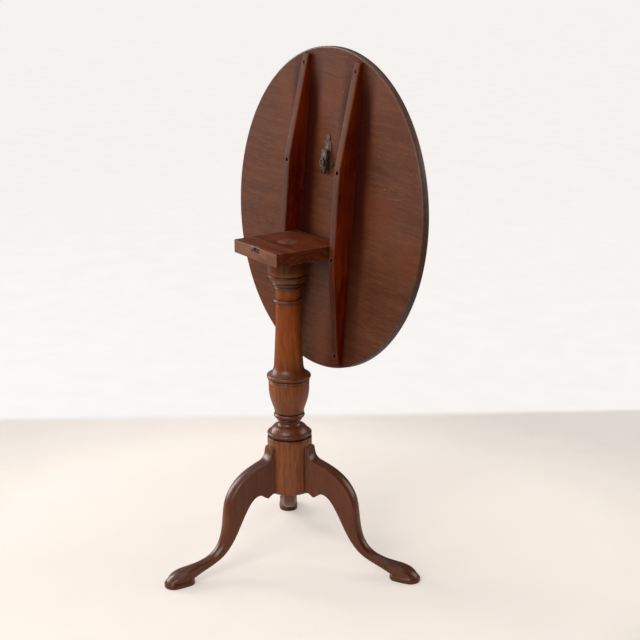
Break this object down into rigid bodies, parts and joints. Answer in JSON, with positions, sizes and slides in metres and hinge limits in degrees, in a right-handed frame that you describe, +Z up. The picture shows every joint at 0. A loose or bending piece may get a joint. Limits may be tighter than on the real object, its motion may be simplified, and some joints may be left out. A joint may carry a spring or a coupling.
{
  "type": "tilt top table",
  "caption": "Round wooden tilt-top table: board on two bearers, hinged to a block on a turned column with cabriole tripod legs and a sprung catch.",
  "frame": {"origin": "on the floor, under the middle of the table's outline with the board raised", "axes": "+Z up, X along the tilt pivots, polished face of the raised board towards -Y, catch side of the block towards +Y"},
  "size_m": [0.656, 0.4689, 1.0731],
  "materials": {
    "top_wood": "semi-matt aged mahogany underside, waxed face",
    "bearer_wood": "dark red stained mahogany",
    "block_wood": "worn mahogany",
    "column_wood": "satin waxed mahogany",
    "leg_wood": "satin waxed mahogany",
    "brass": "aged, dulled brass",
    "iron": "dark wrought iron"
  },
  "bodies": {
    "base": {"pivot_block": "block_wood", "strike_plate": "brass", "strike_pins": "brass", "column": "column_wood", "tenon_wedge": "block_wood", "leg_front": "leg_wood", "leg_left": "leg_wood", "leg_right": "leg_wood", "hub_plate": "iron", "hub_nails": "iron"},
    "top": {"table_top": "top_wood", "bearer_left": "bearer_wood", "bearer_right": "bearer_wood", "bearer_screws_left": "iron", "bearer_screws_right": "iron", "catch_plate": "brass", "catch_case": "brass", "catch_spring": "iron", "catch_screws": "brass"},
    "bolt": {"catch_bolt": "iron", "catch_knob": "brass"}
  },
  "joints": [
    {"name": "tilt", "type": "hinge", "parent": "base", "child": "top", "pos_m": [0, -0.13775, 0.6765], "axis": [-1, 0, 0], "range_deg": [0, 94.9]},
    {"name": "bolt_slide", "type": "slide", "parent": "top", "child": "bolt", "axis": [0, -0.0854, 0.9963], "range_m": [0, 0.008], "stiffness_N_per_m": 250, "springref_m": -0.01, "deforming": ["catch_spring"]}
  ]
}
